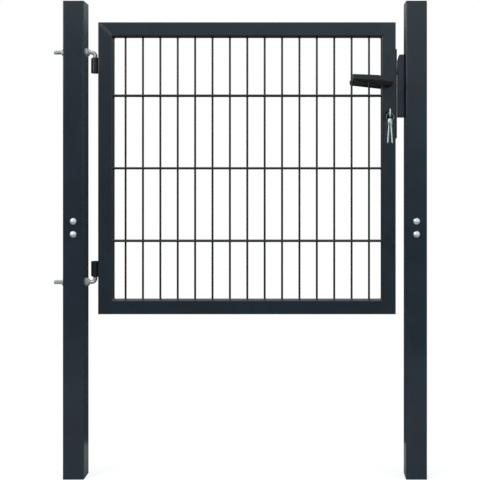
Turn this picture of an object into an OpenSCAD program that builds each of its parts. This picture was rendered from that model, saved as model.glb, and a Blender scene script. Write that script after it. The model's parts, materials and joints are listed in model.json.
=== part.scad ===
// Mesh panel gate: one leaf of square tube with a welded wire mat, hung between two square posts.
// The hinge post stands at the origin, X runs to the latch post, Y away from the front, Z up.

/* [Posts] */
// Height of each post, from the ground to the top of its cap
post_h = 1362; // [1100:1:2000]
// Outside width of the square post tube
post_w = 60; // [50:1:80]
// Wall thickness of the post tube
post_wall = 2; // [1.5:0.1:3.5]
// Outside corner radius of the post tube
post_corner_r = 4; // [3.5:0.5:8]
// Thickness of the cap that covers the post's top
cap_t = 3; // [2:0.5:6]
// Depth of the cap's plug inside the post
cap_plug_h = 18; // [10:1:30]
// Height of the middle of the pair of dome bolts on each post's front
dome_bolt_z = 715.5; // [300:0.5:900]
// Distance between the two dome bolts of a pair
dome_bolt_pitch = 37; // [25:1:80]
// Diameter of a dome bolt's head
dome_head_d = 18.5; // [14:0.5:24]
// Height of a dome bolt's head
dome_head_h = 6; // [4:0.5:8]
// Shank diameter of a dome bolt
dome_shank_d = 8; // [6:1:10]
// Length of a dome bolt's shank
dome_shank_len = 20; // [10:1:30]

/* [Leaf] */
// Width of the leaf's frame
leaf_w = 850; // [600:1:1200]
// Height of the leaf's frame
leaf_h = 834; // [700:1:1100]
// Distance from the top of the posts down to the top of the leaf
leaf_drop = 60; // [20:1:150]
// Outside width of the square frame tube
rail_w = 40; // [36:1:50]
// Wall thickness of the frame tube
rail_wall = 2; // [1.5:0.1:3]
// Outside corner radius of the frame tube
rail_corner_r = 3; // [2.5:0.5:6]
// Gap between the hinge post and the leaf
hinge_gap = 38; // [34:1:60]
// Gap between the leaf and the latch post
latch_gap = 28; // [24:1:36]

/* [Wire mat] */
// Distance between upright wires
wire_pitch = 50; // [30:1:100]
// Diameter of an upright wire
upright_d = 5; // [4:0.5:8]
// Number of double rods across the mat
cross_rows = 3; // [1:1:6]
// Diameter of a cross rod
cross_d = 6; // [4:0.5:8]
// How far each cross rod is welded into the uprights
weld_depth = 0.5; // [0.2:0.1:1]

/* [Hinges] */
// Diameter of the threaded hinge rod and its pin
rod_d = 12; // [10:1:14]
// Distance from the leaf's edge to the hinge axis
axis_offset = 12; // [12:0.5:16]
// Outside diameter of the hinge sleeve
sleeve_d = 24; // [20:1:24]
// Height of a hinge sleeve
sleeve_h = 45; // [30:1:80]
// Chamfer round the end of a sleeve that the rod enters
sleeve_chamfer = 3.5; // [1:0.5:4]
// Width of the web that joins a sleeve to the stile
sleeve_web_w = 10; // [6:1:14]
// Distance from the leaf's top down to the upper sleeve
upper_sleeve_drop = 99; // [70:1:200]
// Distance from the leaf's bottom up to the lower sleeve
lower_sleeve_rise = 105; // [70:1:200]
// Length of straight rod between a sleeve and the rod's bend
rod_bend_gap = 4; // [1:0.5:8]
// Radius of the rod's bend, to its middle
rod_bend_r = 11; // [9:0.5:14]
// Length of rod that stands out behind the hinge post
rod_tail = 32; // [22:1:60]
// Distance that the pin stops short of the sleeve's far end
pin_short = 3; // [1:1:15]
// Width across the flats of the hinge nut
nut_flats = 18; // [16:1:22]
// Thickness of the hinge nut
nut_t = 6.5; // [5:0.5:12]
// Diameter of the hinge washer
washer_d = 24; // [20:1:30]
// Thickness of the hinge washer
washer_t = 2.5; // [1.5:0.5:3]

/* [Lock] */
// Distance from the leaf's top down to the handle's pivot
handle_drop = 174; // [150:1:300]
// Distance from the handle's pivot down to the key cylinder
cylinder_drop = 87; // [72:1:95]
// Distance from the handle's pivot up to the latch bolt
latch_rise = 35; // [26:1:45]
// Distance from the handle's pivot down to the dead bolt
dead_bolt_drop = 41; // [32:1:46]
// Height of the lock's face plate
face_h = 255; // [240:1:300]
// Distance from the handle's pivot up to the face plate's top
face_rise = 98; // [80:1:110]
// Width of the face plate
face_w = 24; // [20:1:28]
// Thickness of the face plate
face_t = 4; // [3:0.5:4]
// Thickness of the lock case, front to back
case_t = 16; // [15:0.5:18]
// Height of the lock case above the handle's pivot
case_rise = 57; // [54:1:64]
// Depth of the lock case below the handle's pivot
case_fall = 120; // [118:1:126]
// Height of the latch bolt
latch_h = 16; // [12:1:18]
// Thickness of the latch bolt, front to back
latch_t = 12; // [10:0.5:12.5]
// Length of latch bolt that stands out of the face plate
latch_out = 12; // [8:0.5:14]
// How far the latch bolt draws back
latch_travel = 11; // [7:0.5:11]
// Height of the dead bolt
dead_bolt_h = 24; // [16:1:26]
// Thickness of the dead bolt
dead_bolt_t = 10; // [8:0.5:12]
// Length of the key cylinder, front to back
cylinder_len = 64; // [56:1:80]
// Diameter of the round part of the key cylinder
cylinder_d = 17; // [16:0.5:18]
// Height of the whole key cylinder
cylinder_h = 33; // [30:0.5:34]

/* [Handle] */
// Diameter of the rose behind each lever
rose_d = 22; // [20:1:30]
// Thickness of the rose
rose_t = 5; // [3:0.5:8]
// Side of the square spindle
spindle_w = 8; // [7:0.5:9]
// Diameter of the lever's neck
neck_d = 18; // [16:1:20]
// Length of the lever's neck, from the rose to the grip
neck_len = 21; // [16:1:30]
// Length of the lever, from its pivot to its tip
lever_len = 107; // [80:1:130]
// Thickness of the lever's grip, front to back
grip_t = 14; // [10:1:18]
// Height of the top of the grip's tip above the pivot
grip_rise = 22.5; // [19:0.5:26]
// Height of the grip at its tip
grip_tip_h = 17; // [14:0.5:20]
// Distance from the pivot to where the grip's top starts to slope down
grip_shoulder = 32; // [20:1:50]
// How far the grip's top falls between its tip and that slope
grip_fall = 3; // [0:0.5:5]
// Depth of the grip's lowest edge below the pivot
grip_depth = 11.5; // [9:0.5:14]
// How far the grip's blunt end lies past the pivot
grip_end = 6; // [4:0.5:9]
// Height of the grip's blunt end
grip_end_h = 14; // [8:0.5:18]
// How far the back lever hangs lower than the front one, in degrees
back_lever_sag = 4; // [0:0.5:6]

/* [Keeper] */
// Height of the keeper
keeper_h = 180; // [160:1:220]
// Distance from the handle's pivot down to the keeper's foot
keeper_drop = 97; // [88:1:110]
// Thickness of the keeper's steel
keeper_t = 3; // [2:0.5:4]
// Gap between the keeper's lips and the face plate
keeper_gap = 2.5; // [2:0.5:4]
// Height of the sloped corner on top of the lips
keeper_slope_h = 16; // [6:1:30]
// Width of the sloped corner on top of the lips
keeper_slope_w = 5; // [2:1:10]
// Gap between the latch bolt and each lip
latch_side_gap = 0.5; // [0.3:0.1:2]

/* [Keys] */
// Thickness of a key
key_t = 2.2; // [2:0.1:2.5]
// Width of a key's head
key_head_w = 24; // [20:1:28]
// Length of a key's head
key_head_len = 18; // [16:1:26]
// Length of a key's blade, with its neck
key_blade_len = 52; // [36:1:56]
// Width of a key's blade
key_blade_w = 8.5; // [7:0.5:9]
// Length of blade that stays out of the cylinder
key_neck_len = 12; // [8:1:16]
// Diameter of the hole in a key's head
key_hole_d = 6; // [5:0.5:7]
// Distance from the top of a key's head to the middle of its hole
key_hole_inset = 8; // [6:0.5:9]
// Radius of the key ring, to the middle of its wire
ring_r = 10.5; // [9:0.5:16]
// Diameter of the key ring's wire
ring_wire_d = 1.8; // [1.4:0.1:2]
// How far the spare keys are turned from facing the front
spare_turn = 66; // [50:1:90]
// Distance between the two spare keys on the ring
spare_pitch = 5; // [4:0.5:7]
// Lean of each spare key away from upright
spare_lean = 4; // [2:1:10]

/* [Hidden] */
$fn = 48;

// Clearances
pin_clear = 0.05;       // around a hinge pin in its sleeve
fit_clear = 0.1;        // around a piece that is fitted and stays put
hole_clear = 0.5;       // around a bolt, rod or cylinder in sheet metal
turn_clear = 0.3;       // between a piece that moves and what carries it
over = 1;               // how far a cutter runs past what it cuts

// Where the leaf and the latch post stand
leaf_x0 = post_w / 2 + hinge_gap;
leaf_x1 = leaf_x0 + leaf_w;
leaf_z1 = post_h - leaf_drop;
leaf_z0 = leaf_z1 - leaf_h;
leaf_mid_x = (leaf_x0 + leaf_x1) / 2;
leaf_mid_z = (leaf_z0 + leaf_z1) / 2;
latch_post_x = leaf_x1 + latch_gap + post_w / 2;
latch_face_x = latch_post_x - post_w / 2;

// Hinges
axis_x = leaf_x0 - axis_offset;
upper_sleeve_z = leaf_z1 - upper_sleeve_drop;
lower_sleeve_z = leaf_z0 + lower_sleeve_rise;
rod_rise = rod_bend_gap + rod_bend_r;
upper_rod_z = upper_sleeve_z + rod_rise;
lower_rod_z = lower_sleeve_z - rod_rise;

// Wire mat
mat_x0 = leaf_x0 + rail_w;
mat_x1 = leaf_x1 - rail_w;
mat_z0 = leaf_z0 + rail_w;
mat_z1 = leaf_z1 - rail_w;
upright_count = floor((mat_x1 - mat_x0 - wire_pitch / 2) / wire_pitch) + 1;
first_upright_x = leaf_mid_x - (upright_count - 1) * wire_pitch / 2;
cross_pitch = leaf_h / (cross_rows + 1);
cross_y = (upright_d + cross_d) / 2 - weld_depth;

// Lock
handle_x = leaf_x1 - rail_w / 2;
handle_z = leaf_z1 - handle_drop;
cylinder_z = handle_z - cylinder_drop;
latch_z = handle_z + latch_rise;
dead_bolt_z = handle_z - dead_bolt_drop;
face_x1 = leaf_x1 + face_t;
face_z1 = handle_z + face_rise;
face_z0 = face_z1 - face_h;
case_x0 = leaf_x1 - rail_w + rail_wall + 2;
case_z0 = handle_z - case_fall;
case_z1 = handle_z + case_rise;
spindle_hole_d = spindle_w * sqrt(2) + 2 * turn_clear;
lobe_w = 10;                                            // width of the cylinder's lower part
latch_back_x = case_x0 + latch_travel + turn_clear;
face_screw_d = 4;
face_screw_head_d = 8;
face_screw_len = 14;
face_screw_inset = 12;                                  // from the face plate's ends

// Keeper
keeper_z0 = handle_z - keeper_drop;
keeper_z1 = keeper_z0 + keeper_h;
keeper_x0 = face_x1 + keeper_gap;
keeper_half = latch_t / 2 + latch_side_gap + keeper_t;
keeper_screw_d = 5;
keeper_screw_head_d = 9;
keeper_screw_head_h = 3;
keeper_screw_len = 14;
keeper_screw_inset = 22;                                // from the keeper's ends

// Handle and keys
rose_y = rail_w / 2 + rose_t;
grip_y = rose_y + neck_len;
socket_len = neck_len - 2;                              // depth of the spindle's socket in the neck
key_head_y = -cylinder_len / 2 - key_neck_len;          // where the head meets the blade
key_hole_y = key_head_y - key_head_len + key_hole_inset;
ring_drop = (key_hole_d - ring_wire_d) / 2 - turn_clear; // from the hole's middle to the wire's
ring_z = cylinder_z - ring_drop - ring_r;
spare_key_z = ring_z - ring_r - ring_drop + turn_clear;

// ---- shared shapes ----

module rounded_rect(w, h, r) {
    square([w - 2 * r, h], center = true);
    square([w, h - 2 * r], center = true);
    for (sx = [-1, 1], sy = [-1, 1])
        translate([sx * (w / 2 - r), sy * (h / 2 - r)])
            circle(r = r);
}

module tube_section(w, wall, r) {
    difference() {
        rounded_rect(w, w, r);
        rounded_rect(w - 2 * wall, w - 2 * wall, max(r - wall, 0.5));
    }
}

// Turns a piece drawn along Z to run along X
module along_x() {
    rotate([0, 90, 0])
        children();
}

// Turns a piece drawn along Z to run along Y
module along_y() {
    rotate([-90, 0, 0])
        children();
}

// Extrudes a flat shape drawn in X and Z, centred on Y
module plate_xz(depth) {
    rotate([90, 0, 0])
        linear_extrude(depth, center = true)
            children();
}

// Puts its child at each dome bolt, on the front of the post at x
module at_dome_bolts(x) {
    for (side = [-1, 1])
        translate([x, -post_w / 2, dome_bolt_z + side * dome_bolt_pitch / 2])
            children();
}

// ---- posts ----

module post_tube() {
    linear_extrude(post_h - cap_t)
        tube_section(post_w, post_wall, post_corner_r);
}

module dome_bolt_hole() {
    translate([0, -over, 0])
        along_y()
            cylinder(d = dome_shank_d + 2 * fit_clear, h = post_wall + 2 * over);
}

module hinge_post() {
    color("#363d45")
        difference() {
            post_tube();
            for (z = [upper_rod_z, lower_rod_z])
                translate([-post_w / 2 - over, 0, z])
                    along_x()
                        cylinder(d = rod_d + 2 * hole_clear, h = post_w + 2 * over);
            at_dome_bolts(0)
                dome_bolt_hole();
        }
}

module latch_post() {
    color("#363d45")
        difference() {
            translate([latch_post_x, 0, 0])
                post_tube();
            at_dome_bolts(latch_post_x)
                dome_bolt_hole();
            at_keeper_screws()
                translate([0, 0, -over])
                    cylinder(d = keeper_screw_d + 2 * fit_clear, h = post_wall + keeper_t + 2 * over);
        }
}

module post_cap(x) {
    color("#202326")
        translate([x, 0, post_h - cap_t]) {
            linear_extrude(cap_t)
                rounded_rect(post_w, post_w, post_corner_r);
            translate([0, 0, -cap_plug_h])
                linear_extrude(cap_plug_h)
                    tube_section(post_w - 2 * post_wall - 2 * fit_clear, post_wall, post_corner_r - 1);
        }
}

module hinge_post_cap() {
    post_cap(0);
}

module latch_post_cap() {
    post_cap(latch_post_x);
}

// A dome head on the post's front, its shank through the wall
module dome_bolt() {
    dome_r = (pow(dome_head_d / 2, 2) + pow(dome_head_h, 2)) / (2 * dome_head_h);
    intersection() {
        translate([0, dome_r - dome_head_h, 0])
            sphere(r = dome_r);
        translate([0, -dome_head_h, 0])
            cube([2 * dome_head_d, 2 * dome_head_h, 2 * dome_head_d], center = true);
        translate([0, -dome_head_h - over, 0])
            along_y()
                cylinder(d = dome_head_d, h = dome_head_h + over);
    }
    along_y()
        cylinder(d = dome_shank_d, h = dome_shank_len);
}

module hinge_post_bolts() {
    color("#c4c8ca")
        at_dome_bolts(0)
            dome_bolt();
}

module latch_post_bolts() {
    color("#c4c8ca")
        at_dome_bolts(latch_post_x)
            dome_bolt();
}

// ---- hinges ----

// Threaded rod through the post, bent round to a pin that points down from the sleeve's end
module hinge_rod() {
    pin_len = sleeve_h - pin_short;
    translate([axis_x, 0, -pin_len])
        cylinder(d = rod_d, h = pin_len + rod_bend_gap);
    translate([axis_x - rod_bend_r, 0, rod_bend_gap])
        rotate([90, 0, 0])
            rotate_extrude(angle = 90)
                translate([rod_bend_r, 0])
                    circle(d = rod_d);
    translate([-post_w / 2 - rod_tail, 0, rod_rise])
        along_x()
            cylinder(d = rod_d, h = axis_x - rod_bend_r + post_w / 2 + rod_tail);
}

module upper_hinge_rod() {
    color("#b9bcbe")
        translate([0, 0, upper_sleeve_z])
            hinge_rod();
}

module lower_hinge_rod() {
    color("#b9bcbe")
        translate([0, 0, lower_sleeve_z])
            mirror([0, 0, 1])
                hinge_rod();
}

// Puts its child on each side of the hinge post at both rods, facing away from the post
module at_rod_seats() {
    for (z = [upper_rod_z, lower_rod_z], side = [0, 1])
        translate([0, 0, z])
            mirror([side, 0, 0])
                translate([post_w / 2, 0, 0])
                    along_x()
                        children();
}

module hinge_washers() {
    color("#c4c8ca")
        at_rod_seats()
            difference() {
                cylinder(d = washer_d, h = washer_t);
                translate([0, 0, -over])
                    cylinder(d = rod_d + 2 * fit_clear, h = washer_t + 2 * over);
            }
}

module hinge_nuts() {
    color("#c4c8ca")
        at_rod_seats()
            translate([0, 0, washer_t])
                difference() {
                    cylinder(d = nut_flats / cos(30), h = nut_t, $fn = 6);
                    translate([0, 0, -over])
                        cylinder(d = rod_d + 2 * fit_clear, h = nut_t + 2 * over);
                }
}

// Sleeve that hangs down from its rod's entry, with a web to the stile
module hinge_sleeve() {
    difference() {
        union() {
            translate([axis_x, 0, -sleeve_h])
                cylinder(d = sleeve_d, h = sleeve_h - sleeve_chamfer);
            translate([axis_x, 0, -sleeve_chamfer])
                cylinder(d1 = sleeve_d, d2 = sleeve_d - 2 * sleeve_chamfer, h = sleeve_chamfer);
            translate([axis_x, -sleeve_web_w / 2, -sleeve_h])
                cube([axis_offset, sleeve_web_w, sleeve_h]);
        }
        translate([axis_x, 0, -sleeve_h - over])
            cylinder(d = rod_d + 2 * pin_clear, h = sleeve_h + 2 * over);
    }
}

module upper_hinge_sleeve() {
    color("#1b1d1f")
        translate([0, 0, upper_sleeve_z])
            hinge_sleeve();
}

module lower_hinge_sleeve() {
    color("#1b1d1f")
        translate([0, 0, lower_sleeve_z])
            mirror([0, 0, 1])
                hinge_sleeve();
}

// ---- leaf frame ----

// A tube along X whose ends are mitred towards its upper side
module mitred_bar(len) {
    intersection() {
        translate([-len / 2, 0, 0])
            along_x()
                linear_extrude(len)
                    tube_section(rail_w, rail_wall, rail_corner_r);
        plate_xz(rail_w + 2 * over)
            polygon([
                [-len / 2 - over, rail_w / 2 + over],
                [-len / 2 + rail_w + over, -rail_w / 2 - over],
                [len / 2 - rail_w - over, -rail_w / 2 - over],
                [len / 2 + over, rail_w / 2 + over]
            ]);
    }
}

module top_rail() {
    color("#373e45")
        translate([leaf_mid_x, 0, leaf_z1 - rail_w / 2])
            mitred_bar(leaf_w);
}

module bottom_rail() {
    color("#373e45")
        translate([leaf_mid_x, 0, leaf_z0 + rail_w / 2])
            mirror([0, 0, 1])
                mitred_bar(leaf_w);
}

module hinge_stile() {
    color("#373e45")
        translate([leaf_x0 + rail_w / 2, 0, leaf_mid_z])
            rotate([0, -90, 0])
                mitred_bar(leaf_h);
}

module latch_stile() {
    color("#373e45")
        difference() {
            translate([leaf_x1 - rail_w / 2, 0, leaf_mid_z])
                rotate([0, 90, 0])
                    mitred_bar(leaf_h);
            translate([leaf_x1 - rail_w / 2, -case_t / 2 - hole_clear, case_z0 - hole_clear])
                cube([rail_w, case_t + 2 * hole_clear, case_z1 - case_z0 + 2 * hole_clear]);
            translate([handle_x, 0, cylinder_z])
                plate_xz(rail_w + 2 * over)
                    cylinder_section(hole_clear);
            translate([handle_x, -rail_w / 2 - over, handle_z])
                along_y()
                    cylinder(d = spindle_hole_d, h = rail_w + 2 * over);
            at_face_screws()
                cylinder(d = face_screw_d + 2 * fit_clear, h = rail_wall + over);
        }
}

// Upright wires with a rod in front and behind them at each row, welded where they cross
module wire_mat() {
    color("#2b302f") {
        for (k = [0 : upright_count - 1])
            translate([first_upright_x + k * wire_pitch, 0, mat_z0])
                rotate([0, 0, 22.5])
                    cylinder(d = upright_d / cos(22.5), h = mat_z1 - mat_z0, $fn = 8);
        for (row = [1 : cross_rows], side = [-1, 1])
            translate([mat_x0, side * cross_y, leaf_z0 + row * cross_pitch])
                along_x()
                    rotate([0, 0, 22.5])
                        cylinder(d = cross_d / cos(22.5), h = mat_x1 - mat_x0, $fn = 8);
    }
}

// ---- lock ----

// Outline of the key cylinder, round above and a narrow lobe below, grown by a clearance
module cylinder_section(clear) {
    lobe_drop = cylinder_h - cylinder_d / 2 - lobe_w / 2;
    circle(d = cylinder_d + 2 * clear);
    translate([0, -lobe_drop / 2])
        square([lobe_w + 2 * clear, lobe_drop], center = true);
    translate([0, -lobe_drop])
        circle(d = lobe_w + 2 * clear);
}

// Puts its child at each face plate screw, pointing out of the leaf, from the stile's inner side
module at_face_screws() {
    for (z = [face_z0 + face_screw_inset, face_z1 - face_screw_inset])
        translate([leaf_x1 - rail_wall, 0, z])
            along_x()
                children();
}

// Room for a bolt of the lock to slide through
module bolt_channel(z, w, h, x0) {
    translate([x0, -w / 2 - turn_clear, z - h / 2 - turn_clear])
        cube([face_x1 - x0 + over, w + 2 * turn_clear, h + 2 * turn_clear]);
}

module face_plate() {
    color("#2a2d30")
        difference() {
            translate([leaf_x1, -face_w / 2, face_z0])
                cube([face_t, face_w, face_h]);
            bolt_channel(latch_z, latch_t, latch_h, case_x0);
            bolt_channel(dead_bolt_z, dead_bolt_t, dead_bolt_h, case_x0);
            at_face_screws() {
                cylinder(d = face_screw_d + 2 * fit_clear, h = rail_wall + face_t + over);
                translate([0, 0, rail_wall + face_t - face_screw_head_d / 4])
                    cylinder(
                        d1 = face_screw_head_d / 2 + 2 * fit_clear,
                        d2 = face_screw_head_d + 2 * fit_clear,
                        h = face_screw_head_d / 4
                    );
            }
        }
}

module face_plate_screws() {
    color("#c4c8ca")
        at_face_screws() {
            translate([0, 0, rail_wall + face_t - face_screw_len])
                cylinder(d = face_screw_d, h = face_screw_len - face_screw_head_d / 4);
            translate([0, 0, rail_wall + face_t - face_screw_head_d / 4])
                cylinder(d1 = face_screw_head_d / 2, d2 = face_screw_head_d, h = face_screw_head_d / 4);
        }
}

module lock_case() {
    color("#8d9194")
        difference() {
            translate([case_x0, -case_t / 2, case_z0])
                cube([leaf_x1 - case_x0, case_t, case_z1 - case_z0]);
            bolt_channel(latch_z, latch_t, latch_h, case_x0 - over);
            bolt_channel(dead_bolt_z, dead_bolt_t, dead_bolt_h, handle_x);
            translate([handle_x, 0, cylinder_z])
                plate_xz(case_t + 2 * over)
                    cylinder_section(fit_clear);
            translate([handle_x, -case_t / 2 - over, handle_z])
                along_y()
                    cylinder(d = spindle_hole_d, h = case_t + 2 * over);
        }
}

// The latch bolt, its nose sloped on the front side
module latch_bolt() {
    slope = latch_out - 2;
    color("#a9adb0")
        translate([0, 0, latch_z - latch_h / 2])
            linear_extrude(latch_h)
                polygon([
                    [latch_back_x, -latch_t / 2],
                    [face_x1 + latch_out - slope, -latch_t / 2],
                    [face_x1 + latch_out, latch_t / 2 - 2],
                    [face_x1 + latch_out, latch_t / 2],
                    [latch_back_x, latch_t / 2]
                ]);
}

// The dead bolt, drawn back flush with the face plate
module dead_bolt() {
    color("#a9adb0")
        translate([handle_x + turn_clear, -dead_bolt_t / 2, dead_bolt_z - dead_bolt_h / 2])
            cube([face_x1 - handle_x - turn_clear, dead_bolt_t, dead_bolt_h]);
}

module key_cylinder() {
    color("#6f7274")
        difference() {
            translate([handle_x, 0, cylinder_z])
                plate_xz(cylinder_len)
                    cylinder_section(0);
            translate([handle_x, -cylinder_len / 2 - over, cylinder_z])
                translate([-key_t / 2 - fit_clear, 0, -key_blade_w / 2 - fit_clear])
                    cube([
                        key_t + 2 * fit_clear,
                        key_blade_len - key_neck_len + over + fit_clear,
                        key_blade_w + 2 * fit_clear
                    ]);
        }
}

// ---- handle ----

module rose(side) {
    color("#1d1f21")
        translate([handle_x, 0, handle_z])
            rotate([side * 90, 0, 0])
                translate([0, 0, rail_w / 2])
                    difference() {
                        cylinder(d = rose_d, h = rose_t);
                        translate([0, 0, -over])
                            cylinder(d = spindle_hole_d, h = rose_t + 2 * over);
                    }
}

module front_rose() {
    rose(1);
}

module back_rose() {
    rose(-1);
}

module spindle() {
    color("#8d9194")
        translate([handle_x, 0, handle_z])
            cube([spindle_w, 2 * (rose_y + socket_len - 1), spindle_w], center = true);
}

// Outline of the grip: nearly level on top, deepest near the pivot, blunt past it
module grip_outline() {
    polygon([
        [-lever_len, grip_rise],
        [-grip_shoulder, grip_rise - grip_fall],
        [grip_end, grip_end_h / 2],
        [grip_end, -grip_end_h / 2],
        [-grip_end, -grip_depth],
        [-lever_len, grip_rise - grip_tip_h]
    ]);
}

// A lever that hangs lower by an angle, its socket square to the spindle all the same
module lever(sag) {
    difference() {
        rotate([0, -sag, 0]) {
            translate([0, -grip_y, 0])
                along_y()
                    cylinder(d = neck_d, h = neck_len - turn_clear);
            translate([0, -grip_y - grip_t / 2, 0])
                plate_xz(grip_t)
                    grip_outline();
        }
        translate([0, -rose_y - socket_len / 2 + over / 2, 0])
            cube([
                spindle_w + 2 * fit_clear,
                socket_len + over,
                spindle_w + 2 * fit_clear
            ], center = true);
    }
}

module front_lever() {
    color("#17191a")
        translate([handle_x, 0, handle_z])
            lever(0);
}

module back_lever() {
    color("#17191a")
        translate([handle_x, 0, handle_z])
            mirror([0, 1, 0])
                lever(back_lever_sag);
}

// ---- keeper ----

// Puts its child at each keeper screw, pointing into the latch post from the keeper's floor
module at_keeper_screws() {
    for (z = [keeper_z0 + keeper_screw_inset, keeper_z1 - keeper_screw_inset])
        translate([latch_face_x - keeper_t, 0, z])
            along_x()
                children();
}

// A channel on the latch post whose two lips hold the latch bolt between them
module keeper() {
    color("#2d3339")
        difference() {
            intersection() {
                translate([keeper_x0, -keeper_half, keeper_z0])
                    cube([latch_face_x - keeper_x0, 2 * keeper_half, keeper_h]);
                plate_xz(2 * keeper_half + 2 * over)
                    polygon([
                        [keeper_x0, keeper_z0 - over],
                        [latch_face_x + over, keeper_z0 - over],
                        [latch_face_x + over, keeper_z1 + over],
                        [keeper_x0 + keeper_slope_w, keeper_z1 + over],
                        [keeper_x0 + keeper_slope_w, keeper_z1],
                        [keeper_x0, keeper_z1 - keeper_slope_h]
                    ]);
            }
            translate([keeper_x0 - over, -keeper_half + keeper_t, keeper_z0 - over])
                cube([
                    latch_face_x - keeper_t - keeper_x0 + over,
                    2 * (keeper_half - keeper_t),
                    keeper_h + 2 * over
                ]);
            at_keeper_screws()
                translate([0, 0, -over])
                    cylinder(d = keeper_screw_d + 2 * fit_clear, h = keeper_t + 2 * over);
        }
}

module keeper_screws() {
    color("#c4c8ca")
        at_keeper_screws() {
            cylinder(d = keeper_screw_d, h = keeper_screw_len - keeper_screw_head_h);
            translate([0, 0, -keeper_screw_head_h])
                cylinder(d = keeper_screw_head_d, h = keeper_screw_head_h);
        }
}

// ---- keys ----

// A flat key drawn in X and Z: its head's hole at the origin, its blade pointing down
module flat_key() {
    plate_xz(key_t)
        difference() {
            union() {
                translate([0, key_hole_inset - key_head_len / 2])
                    rounded_rect(key_head_w, key_head_len, key_head_len / 2 - 2);
                translate([-key_blade_w / 2, key_hole_inset - key_head_len - key_blade_len])
                    square([key_blade_w, key_blade_len + over]);
            }
            circle(d = key_hole_d);
        }
}

// The key in the lock, its head upright and its blade in the cylinder
module door_key() {
    color("#c9d3d2")
        translate([handle_x, key_hole_y, cylinder_z])
            rotate([90, 90, 0])
                flat_key();
}

module key_ring() {
    color("#9ea4a6")
        translate([handle_x, key_hole_y, ring_z])
            along_y()
                rotate_extrude()
                    translate([ring_r, 0])
                        circle(d = ring_wire_d);
}

// Two keys side by side at the ring's lowest point, their blades leaning apart
module spare_keys() {
    color("#c9d3d2")
        for (side = [-1, 1])
            translate([handle_x + side * spare_pitch / 2, key_hole_y, spare_key_z])
                rotate([0, -side * spare_lean, 0])
                    rotate([0, 0, spare_turn])
                        flat_key();
}

hinge_post();
latch_post();
hinge_post_cap();
latch_post_cap();
hinge_post_bolts();
latch_post_bolts();
upper_hinge_rod();
lower_hinge_rod();
hinge_washers();
hinge_nuts();
keeper();
keeper_screws();
top_rail();
bottom_rail();
hinge_stile();
latch_stile();
wire_mat();
upper_hinge_sleeve();
lower_hinge_sleeve();
face_plate();
face_plate_screws();
lock_case();
dead_bolt();
key_cylinder();
front_rose();
back_rose();
door_key();
front_lever();
back_lever();
spindle();
latch_bolt();
key_ring();
spare_keys();
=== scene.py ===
"""Mesh panel gate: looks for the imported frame, in metres, the hinge post at the origin."""
import json
from math import cos, pi, radians, sin, sqrt, tan

import bmesh
import bpy
from mathutils import Matrix, Vector


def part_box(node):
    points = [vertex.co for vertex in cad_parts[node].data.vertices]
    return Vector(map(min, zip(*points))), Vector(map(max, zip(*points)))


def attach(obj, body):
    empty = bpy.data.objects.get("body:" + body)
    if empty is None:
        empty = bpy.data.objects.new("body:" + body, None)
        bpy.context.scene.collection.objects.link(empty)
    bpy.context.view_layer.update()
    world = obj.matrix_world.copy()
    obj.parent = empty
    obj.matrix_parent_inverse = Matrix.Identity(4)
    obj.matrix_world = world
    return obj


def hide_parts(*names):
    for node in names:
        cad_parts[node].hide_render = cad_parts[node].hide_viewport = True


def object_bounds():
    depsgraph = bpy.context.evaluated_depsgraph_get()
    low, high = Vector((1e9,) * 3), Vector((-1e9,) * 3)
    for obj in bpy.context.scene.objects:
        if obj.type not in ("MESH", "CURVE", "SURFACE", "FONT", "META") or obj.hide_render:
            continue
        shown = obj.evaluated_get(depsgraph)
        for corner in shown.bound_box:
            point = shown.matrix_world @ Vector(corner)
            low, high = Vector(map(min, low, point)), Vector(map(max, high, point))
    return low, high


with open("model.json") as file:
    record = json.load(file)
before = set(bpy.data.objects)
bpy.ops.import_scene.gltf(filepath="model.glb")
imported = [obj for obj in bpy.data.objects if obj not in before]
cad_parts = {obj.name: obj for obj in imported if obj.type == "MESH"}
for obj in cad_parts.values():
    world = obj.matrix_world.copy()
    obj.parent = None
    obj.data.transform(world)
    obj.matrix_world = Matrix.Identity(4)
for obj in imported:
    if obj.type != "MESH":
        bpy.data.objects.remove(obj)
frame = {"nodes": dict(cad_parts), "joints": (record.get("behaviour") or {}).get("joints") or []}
cad_low, cad_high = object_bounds()

# ---- View and studio ----
# A long lens, level and shifted so that the posts stay parallel, three soft lamps, and a floor and a
# surround that look white. Gloss sees dark walls under a bright ceiling, and only the key lamp.

scene = bpy.context.scene
scene.view_settings.view_transform = "Standard"


def linear(colour):
    """An sRGB hex colour as linear red, green, blue and alpha."""
    parts = [int(colour[k : k + 2], 16) / 255 for k in (1, 3, 5)]
    return [p / 12.92 if p <= 0.04045 else ((p + 0.055) / 1.055) ** 2.4 for p in parts] + [1.0]


def add(tree, kind, inputs=(), stops=(), **settings):
    """Adds a node with its settings, its inputs and a colour ramp's stops.

    An input is a value, a socket to link from, or a node, which stands for its first output.
    """
    node = tree.nodes.new(kind)
    for key, value in settings.items():
        setattr(node, key, value)
    for key, value in dict(inputs).items():
        source = value.outputs[0] if isinstance(value, bpy.types.Node) else value
        if isinstance(source, bpy.types.NodeSocket):
            tree.links.new(source, node.inputs[key])
        else:
            node.inputs[key].default_value = source
    for k, (place, colour) in enumerate(stops):
        elements = node.color_ramp.elements
        element = elements[k] if k < 2 else elements.new(place)
        element.position = place
        element.color = linear(colour)
    return node


def placed(name, data):
    """A new object in the scene."""
    made = bpy.data.objects.new(name, data)
    scene.collection.objects.link(made)
    return made


gate_middle = (cad_low + cad_high) / 2
camera_right_of_middle = 0.1708
camera_distance = 2.455
camera_height = 0.872
camera_data = bpy.data.cameras.new("camera")
camera_data.lens = 64.02
camera_data.shift_x = -0.1237
camera_data.shift_y = -0.14
camera = placed("camera", camera_data)
camera.location = (gate_middle.x + camera_right_of_middle, -camera_distance, camera_height)
camera.rotation_euler = (pi / 2, 0, 0)
scene.camera = camera


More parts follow.
